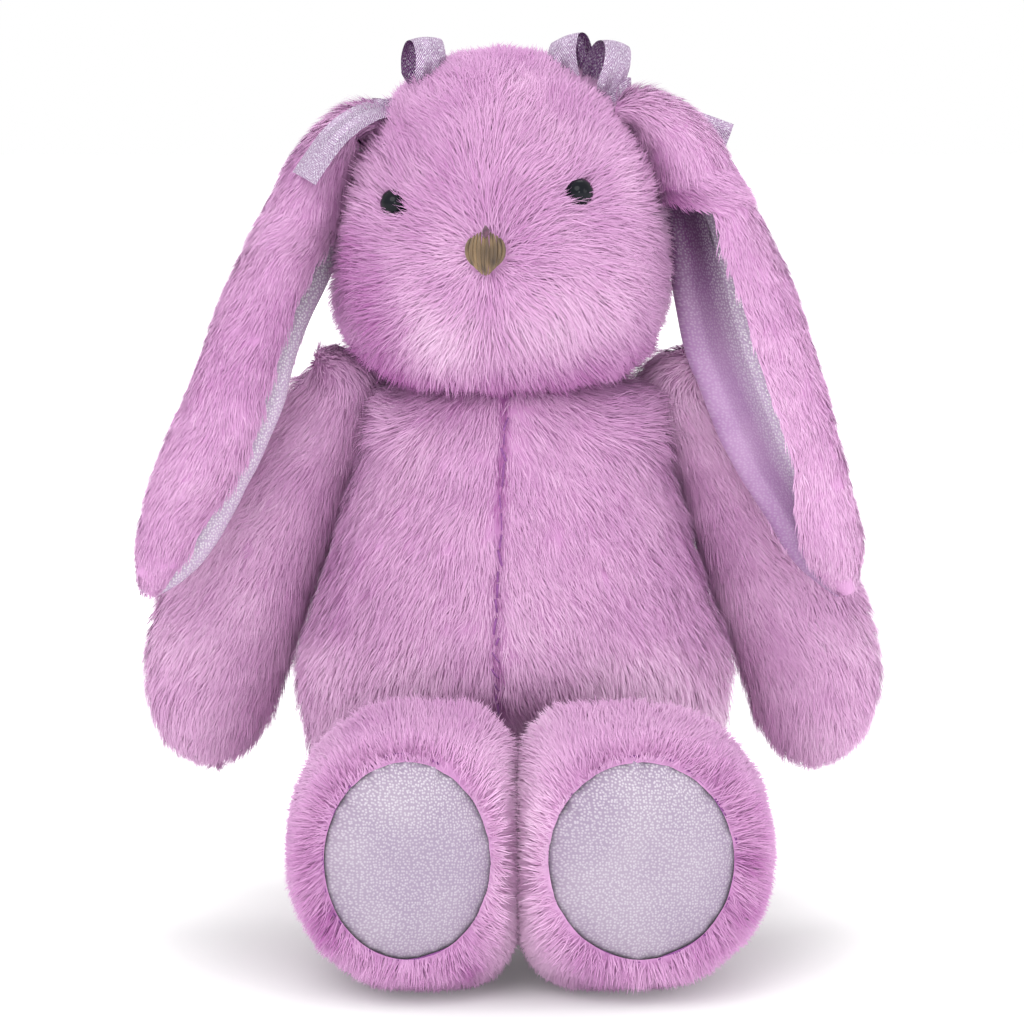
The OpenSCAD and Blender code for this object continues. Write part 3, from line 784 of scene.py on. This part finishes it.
def pad(side):
    """Gathered sole pad with a seam thread round it."""
    w = FOOT[side]
    rng = np.random.default_rng(8 if side == "left" else 9)
    cx, cz = -w - 0.4 + 2.5, 41.8
    q = np.linspace(0, 2 * np.pi, 181)
    r = np.linspace(0, 1, PAD_RINGS)
    rr, qq = np.meshgrid(r, q, indexing="ij")
    top = 0.35 + 0.65 * np.clip(np.sin(qq), 0, 1)
    phase = sum(rng.uniform(0.5, 1) * np.sin(k * qq + rng.uniform(0, 6)) for k in (17, 23, 31))
    pleat = phase * top * np.clip((rr - 0.62) / 0.38, 0, 1) ** 1.5 * 0.5
    dome = 3.6 * (1 - rr ** 3.2) - 0.9 * np.exp(-(rr / 0.35) ** 2)
    ragged = (1 - 0.07 * np.clip(np.sin(qq), 0, 1) ** 2
              + 0.012 * np.sin(5 * qq + 1 + w) + 0.008 * np.sin(9 * qq))
    x = cx + rr * w * 0.73 * np.cos(qq) * ragged
    z = cz + rr * 28.6 * np.sin(qq) * (2 - ragged) * 0.985
    edge = rr > 0.985
    verts = np.stack([x, -100.2 - dome - pleat + edge * 0.9, z], 2).reshape(-1, 3)
    body = verts, grid_quads(PAD_RINGS, len(q))
    ring = np.stack([x[-1], np.full(len(q), -101.0) - 0.25 * phase[-1] * top[-1], z[-1]], 1)
    seam = tube(ring, 0.35)
    shift = np.array([FEET_MEET, 0, 0])
    flip = side == "right"

    def place(v):
        v = v * [-1, 1, 1] if flip else v
        return v + shift
    v, quads = merge([(place(body[0]), body[1] if flip else body[1][:, ::-1]), (place(seam[0]), seam[1])])
    obj = build_mesh(f"sole_pad_{side}_cloth", v, quads, material=FOIL)
    obj.data.materials.append(SEAM)
    index = np.zeros(len(quads), np.int32)
    index[len(body[1]):] = 1
    obj.data.polygons.foreach_set("material_index", index)
    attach(obj, f"{side}_leg")
    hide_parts(f"sole_pad_{side}")


for k, side in enumerate(("left", "right")):
    w = FOOT[side]
    matrix = SAME if side == "left" else MIRROR
    shift = [FEET_MEET, 0, 0]

    def leg_depth(p, t, a, w=w):
        inner = np.clip((p[:, 0] + w + 0.4) / (w * 0.7), 0, 1)
        return np.clip(np.minimum(t, (9.0 - t) / 1.4), 0.1, 1) * (3.4 - 2.6 * inner)

    leg_skin = Skin(foot(w), leg_depth, matrix, shift)
    middle = (matrix @ np.array([-w - 0.4 + 1.5, 0, 41.8])) + shift

    def leg_comb(p, n, along, middle=middle):
        v = p - middle
        v = v * [1, 0, 1]
        v = unit(v)
        rim = np.clip((-p[:, 1] - 93) / 9, 0, 1)[:, None]
        return v * (0.2 + 0.8 * rim) + np.array([0, 0.8, -0.3]) * (1 - rim)

    def leg_tone_and_lighting(p, middle=middle, side=side):
        v = p - middle
        top = np.clip(v[:, 2] / 30, 0, 1)
        s = 1 if side == "left" else -1
        inner = np.clip((v[:, 0] * s - 16) / 14, 0, 1)
        tuft = np.clip(wobble(p, 7.0)[:, 2] * 2 - 0.5, 0, 1)
        # Painted light on the tops of the feet and on the inner sides where the feet meet; the tufts are
        # darker at random.
        return 0.47 + 0.1 * top * (1 - inner) + 0.4 * inner - 0.16 * tuft * (1 - 0.7 * top)

    def leg_length(p):
        return 8.0 - 1.5 * np.clip((-p[:, 1] - 85) / 12, 0, 1)

    for part, arc in (("outer", (90, 270)), ("inner", (-90, 90))):
        fur(f"leg_{side}_{part}_fur", f"leg_{side}_{part}", f"{side}_leg", leg_skin, (0.6, 8.85), arc, 36000,
            leg_comb, leg_length, (36, 8), leg_tone_and_lighting, seed=71 + k * 2 + (part == "inner"), clump=9, gather=0.3,
            wild=0.14)
    pad(side)

# ---------------------------------------------------------------- ears


def ear_depth(shape_depth):
    """Depth of a layer, thinner towards the edges of the fold and the ends of the ear."""
    def f(p, t, a):
        edge = np.clip(np.minimum(a, 100 - a) / 11, 0, 1)
        tip = np.clip(np.minimum(t + 0.4, 9.3 - t) / 1.8, 0.15, 1)
        return shape_depth * (0.35 + 0.65 * edge) * tip
    return f


FOLD_LEFT = [[0, -172], [2.7, -172], [3.2, -140], [5, -137], [6, -146], [7, -131], [8, -135], [9, -165]]
FOLD_RIGHT = [[0, -172], [2.45, -172], [2.95, -90], [6.3, -92], [8.1, -141], [9, -168]]

for k, (side, rows, matrix, fold) in enumerate([("left", EAR_LEFT, SAME, FOLD_LEFT),
                                                ("right", EAR_RIGHT, MIRROR, FOLD_RIGHT)]):
    skin = Skin(ear(rows, fold, 172), ear_depth(3.0), matrix)

    def ear_tone_and_shade(p, side=side):
        base = 0.55 if side == "left" else 0.6
        shade = base + 0.04 * np.clip((170 - p[:, 2]) / 50, -1, 1)
        if side == "right":
            # Painted shade: a darker patch high on the front of the right ear, next to the head.
            shade = shade - 0.3 * bump(p[:, 0] - 43, 6.5) * bump(p[:, 2] - 221, 12) * (p[:, 1] < -10)
        return shade

    fur(f"ear_{side}_fur", f"ear_fur_{side}", f"{side}_ear", skin, (0.05, 8.95), (0, 100), 38000,
        lambda p, n, along: along + np.array([0, 0, -0.15]),
        lambda p: 6.5 - 4.5 * np.clip((124 - p[:, 2]) / 16, 0, 1), (24, 6), ear_tone_and_shade, seed=91 + k, width=0.32,
        clump=8, spread=1.2, gather=0.25, wild=0.08)
    lining = Skin(ear(rows, fold, 175), ear_depth(4.6), matrix)
    nt, na = 90, 60
    tt, aa = np.meshgrid(np.linspace(0.05, 8.95, nt), np.linspace(0.5, 99.5, na), indexing="ij")
    p, n, _, lt, la = lining.at(tt.ravel(), aa.ravel())
    crease = wobble(p, 16.0)[:, :1] * 0.8 + wobble(p, 6.0)[:, :1] * 0.25
    p = p + n * crease
    obj = build_mesh(f"ear_{side}_lining", p, grid_quads(nt, na, 0, skin.flip),
                     uv=np.stack([aa.ravel() / 100, tt.ravel() / 9], 1), material=LINING[side])
    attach(obj, f"{side}_ear")
    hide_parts(f"ear_lining_{side}")

# ---------------------------------------------------------------- bows


def smooth(path, steps=8):
    path = np.asarray(path, float)
    return row_at(path, np.linspace(0, len(path) - 1, (len(path) - 1) * steps + 1))


def ribbon_strip(path, wide, shift, twist=0.0, loop=False):
    """Strip 10 mm wide along the path; twist turns its width direction along the way."""
    path = smooth(path) + shift
    s = np.linspace(0, 1, len(path))
    d = unit(np.gradient(path, axis=0))
    w = np.asarray(wide, float)
    w = unit(w - d * (d @ w)[:, None])
    g = np.cross(d, w)
    ang = (twist * s)[:, None]
    w = w * np.cos(ang) + g * np.sin(ang)
    g = np.cross(d, w)
    across = np.linspace(-1, 1, 9)
    dist = np.concatenate([[0], np.cumsum(np.linalg.norm(np.diff(path, axis=0), axis=1))])
    pinch = 0.4 + 0.6 * np.clip(dist / 5, 0, 1)
    if loop:
        pinch = pinch * (0.4 + 0.6 * np.clip((dist[-1] - dist) / 5, 0, 1))
    v = path[:, None] + 5 * (across[None, :, None] * w[:, None]) * pinch[:, None, None]
    v = v + g[:, None] * (0.7 * (1 - across[None, :, None] ** 2))
    uv = np.stack([np.broadcast_to((across + 1) / 2, (len(path), 9)),
                   np.broadcast_to((dist / 200)[:, None], (len(path), 9))], 2)
    return v.reshape(-1, 3), grid_quads(len(path), 9), uv.reshape(-1, 2), dist[-1]


def bow(side, at, loops, tails):
    at = np.array(at, float)
    strips = [ribbon_strip(p, w, at, loop=True) for p, w in loops]
    strips += [ribbon_strip(p, w, at, twist) for p, w, twist in tails]
    q = np.linspace(0, 2 * np.pi, 25)
    knot = np.stack([3.4 * np.cos(q), 2.6 * np.sin(q), 0 * q], 1)
    strips.append(ribbon_strip(knot + [0, 0, -5], [0.2, 0.2, 1], at))
    v, quads, uv, off, lengths = [], [], [], 0, 0
    for k, (sv, sq, su, sl) in enumerate(strips):
        v.append(sv)
        quads.append(sq + off)
        uv.append(su + [0, 0.23 * k])
        off += len(sv)
        lengths += sl
    uv = np.concatenate(uv) * [0.1, 1 / 1.6]
    obj = build_mesh(f"bow_{side}", np.concatenate(v), np.concatenate(quads), uv=uv, material=RIBBON)
    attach(obj, "head")
    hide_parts(f"ribbon_bow_{side}")


def standing_loop(base, ahead, wide, lean, height=13.5):
    """Loop that stands up: rises behind, turns over and comes down in front."""
    ahead = np.array(ahead, float)
    steps = [(-2.2, 0.0), (-3.8, 0.35), (-4.2, 0.72), (-1.6, 1.0),
             (2.4, 1.0), (4.8, 0.7), (4.2, 0.33), (2.0, 0.0)]
    return [np.array(base) + ahead * a + np.array([lean * z * height, 0, z * height]) for a, z in steps], wide


bow("left", [-38.8, -5, 250.6],
    [standing_loop([12, -2, 2.3], [0.5, -0.85, 0], [0.85, 0.5, 0.05], 0.03, 14.5),
     ([[0, 3, -3], [-1, 9, 0], [-2, 16, -3], [-2, 17, -9], [-1, 10, -10], [0, 3, -6]], [1, 0.1, 0])],
    [([[2, -1, -3], [-4, -11, -4], [-13, -17.5, -10.4], [-22, -20.5, -22.8]], [6.2, -6, -4], 0.0),
     ([[0, 2, -4], [-5, 12, -8], [-9, 17, -15], [-11, 19, -25]], [6.1, 4, -5.2], 0.2)])
bow("right", [30.5, -7, 256.8],
    [standing_loop([-13, 1, -4.5], [-0.55, -0.8, 0.1], [0.8, -0.5, 0.3], -0.05, 15.5),
     standing_loop([-5.5, -1, -6.5], [0.6, -0.75, 0], [0.75, 0.6, -0.15], 0.25, 16)],
    [([[0, 1, -5], [7, 12, -9], [19, 19, -13.5], [34, 20, -19]], [-0.3, 0, 1], 0.0),
     ([[0, 1, -6], [2, 9, -6], [4, 18, -9], [7, 26, -18]], [9, 0, -3], 0.3)])

# ---------------------------------------------------------------- nose, eyes, seam stitches

rng = np.random.default_rng(5)
strands = []
for x in np.linspace(-1, 1, 10):
    s = np.linspace(0, 1, 22)
    top = 6.0 - 1.8 * abs(x) ** 2
    bottom = -6.4 + 2.4 * abs(x) ** 2
    z = top + (bottom - top) * s
    xx = x * 5.2 * np.sqrt(np.clip(1 - ((s - 0.42) / 0.66) ** 2, 0.12, 1))
    y = -3.2 * np.sqrt(np.clip(1 - (xx / 6.3) ** 2 - (z / 7.6) ** 2, 0.0, 1)) - 0.4 * rng.random()
    path = np.stack([xx + rng.normal(0, 0.06), y, z], 1)
    path = path @ NECK_TURN.T + NOSE_WORLD + [0, 0.8, 0]
    strands.append(tube(path, 0.66 * np.sqrt(np.clip(np.sin(np.pi * (0.03 + 0.94 * s)), 0, 1)) + 0.02))
v, quads = merge(strands)
nose = build_mesh("nose_stitches", v, quads, material=NOSE)
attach(nose, "head")
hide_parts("nose")

v, quads = tube(np.array([[0, -1.8, 7.6], [0.2, -2.6, 6.4], [0.1, -3.2, 5.2], [0, -3.4, 4.2]]) @ NECK_TURN.T
                + NOSE_WORLD + [0, 0.6, 0], np.array([0.3, 1.1, 1.0, 0.1]))
notch = build_mesh("nose_notch", v, quads,
                   material=thread_material("notch_yarn", lin((62, 30, 48)), lin((104, 58, 84))))
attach(notch, "head")

bead = Mat("eye_bead_gloss", Roughness=0.12, Specular_IOR_Level=0.17)
haze = bead.node("ShaderNodeTexNoise", {"Vector": bead.place(), "Scale": 240.0}).outputs["Fac"]
bead.link(bead.mix(haze, lin((8, 9, 14)), lin((20, 24, 32))), "Base Color")
washer = Mat("washer_plastic", Roughness=0.5)
grain = washer.node("ShaderNodeTexNoise", {"Vector": washer.place(), "Scale": 900.0}).outputs["Fac"]
washer.link(washer.mix(grain, lin((205, 205, 200)), lin((232, 232, 228))), "Base Color")
washer.bump(grain, 0.2, 0.0002)
for name in ("eye_left", "eye_right", "eye_washer_left", "eye_washer_right"):
    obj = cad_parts[name]
    mat = washer.mat if "washer" in name else bead.mat
    if obj.material_slots:
        for s in obj.material_slots:
            s.material = mat
    else:
        obj.data.materials.append(mat)

stitches = []
z = 66.0
while z < 159:
    size = rng.uniform(1.6, 4.6)
    zz = np.linspace(z, z + size, 7)
    t = np.interp(zz, [r[0] for r in TORSO[1:]], np.arange(1, len(TORSO)))
    a = -90 - np.degrees((-seam_x(zz) + rng.normal(0, 0.3)) / 58)
    p, n, _, _, _ = Skin(upright(TORSO), 2.4).at(t, a)
    p = p + n * (0.7 * np.sin(np.linspace(0, np.pi, 7)))[:, None]
    p[:, 0] = p[:, 0] + np.linspace(-0.5, 0.5, 7) * rng.normal()
    stitches.append(tube(p, rng.uniform(0.22, 0.42)))
    z += size + rng.uniform(0.3, 2.6)
v, quads = merge(stitches)
seam = build_mesh("belly_seam_stitches", v, quads, material=SEAM)
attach(seam, "torso")

# ---------------------------------------------------------------- tail and inside pieces

lo, hi = (np.array(c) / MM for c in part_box("tail"))
tail_centre, tail_r = (lo + hi) / 2, (hi[0] - lo[0]) / 2


def ball(t, a):
    q, h = np.radians(a), np.pi * (1 - t)
    return tail_centre + tail_r * np.stack([np.sin(h) * np.cos(q), np.sin(h) * np.sin(q), np.cos(h)], 1)


fur("tail_fur", "tail", "torso", Skin(ball, 6.0), (0.03, 0.97), (-180, 180), 6000,
    lambda p, n, along: n * 0.2 + np.array([0, 0.3, -1.0]),
    9.0, (60, 35), 0.72, seed=131, droop=0.2, wild=0.3)


def stuffing(name, node, body, skin, span, material):
    """Lumpy fibre filling or bag, a little inside the backing."""
    nt, na = 50, 72
    tt, aa = np.meshgrid(np.linspace(*span, nt), np.linspace(-180, 180, na), indexing="ij")
    p, n, _, _, _ = skin.at(tt.ravel(), aa.ravel())
    p = p + n * (wobble(p, 11.0)[:, :1] * 0.6 + wobble(p, 4.0)[:, 1:2] * 0.25)
    p[:, 2] = np.maximum(p[:, 2], 6)
    p = p.reshape(nt, na, 3)
    p[:, -1] = p[:, 0]
    p = np.concatenate([np.broadcast_to(p[:1].mean(1, keepdims=True), (1, na, 3)), p,
                        np.broadcast_to(p[-1:].mean(1, keepdims=True), (1, na, 3))])
    obj = build_mesh(name, p.reshape(-1, 3), grid_quads(nt + 2, na, 0, not skin.flip), material=material)
    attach(obj, body)
    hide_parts(node)


stuffing("torso_fill", "torso_stuffing", "torso", Skin(upright(TORSO), 9.0), (3, 9.2), FILL)
stuffing("head_fill", "head_stuffing", "head", Skin(upright(HEAD, 6.0), 9.0, NECK_TURN, NECK_SHIFT),
         (1.2, 8.2), FILL)
for side, matrix in (("left", SAME), ("right", MIRROR)):
    stuffing(f"arm_{side}_fill", f"arm_{side}_stuffing", f"{side}_arm", Skin(limb(ARM), 7.5, matrix),
             (3, 8.2), FILL)
    stuffing(f"leg_{side}_fill", f"leg_{side}_stuffing", f"{side}_leg",
             Skin(leg(FOOT[side]), 8.0, matrix, [FEET_MEET, 0, 0]), (2, 6.5), FILL)


def pouch(t, a):
    q, h = np.radians(a), np.pi * (1 - t)
    bag = [34 * np.sin(h) * np.cos(q), 22 * np.sin(h) * np.sin(q), 9.5 * np.cos(h)]
    return np.array([0, 7, 16.5]) + np.stack(bag, 1)


stuffing("pellet_bag", "pellet_pouch", "torso", Skin(pouch, 0.6), (0.02, 0.98), CLOTH)
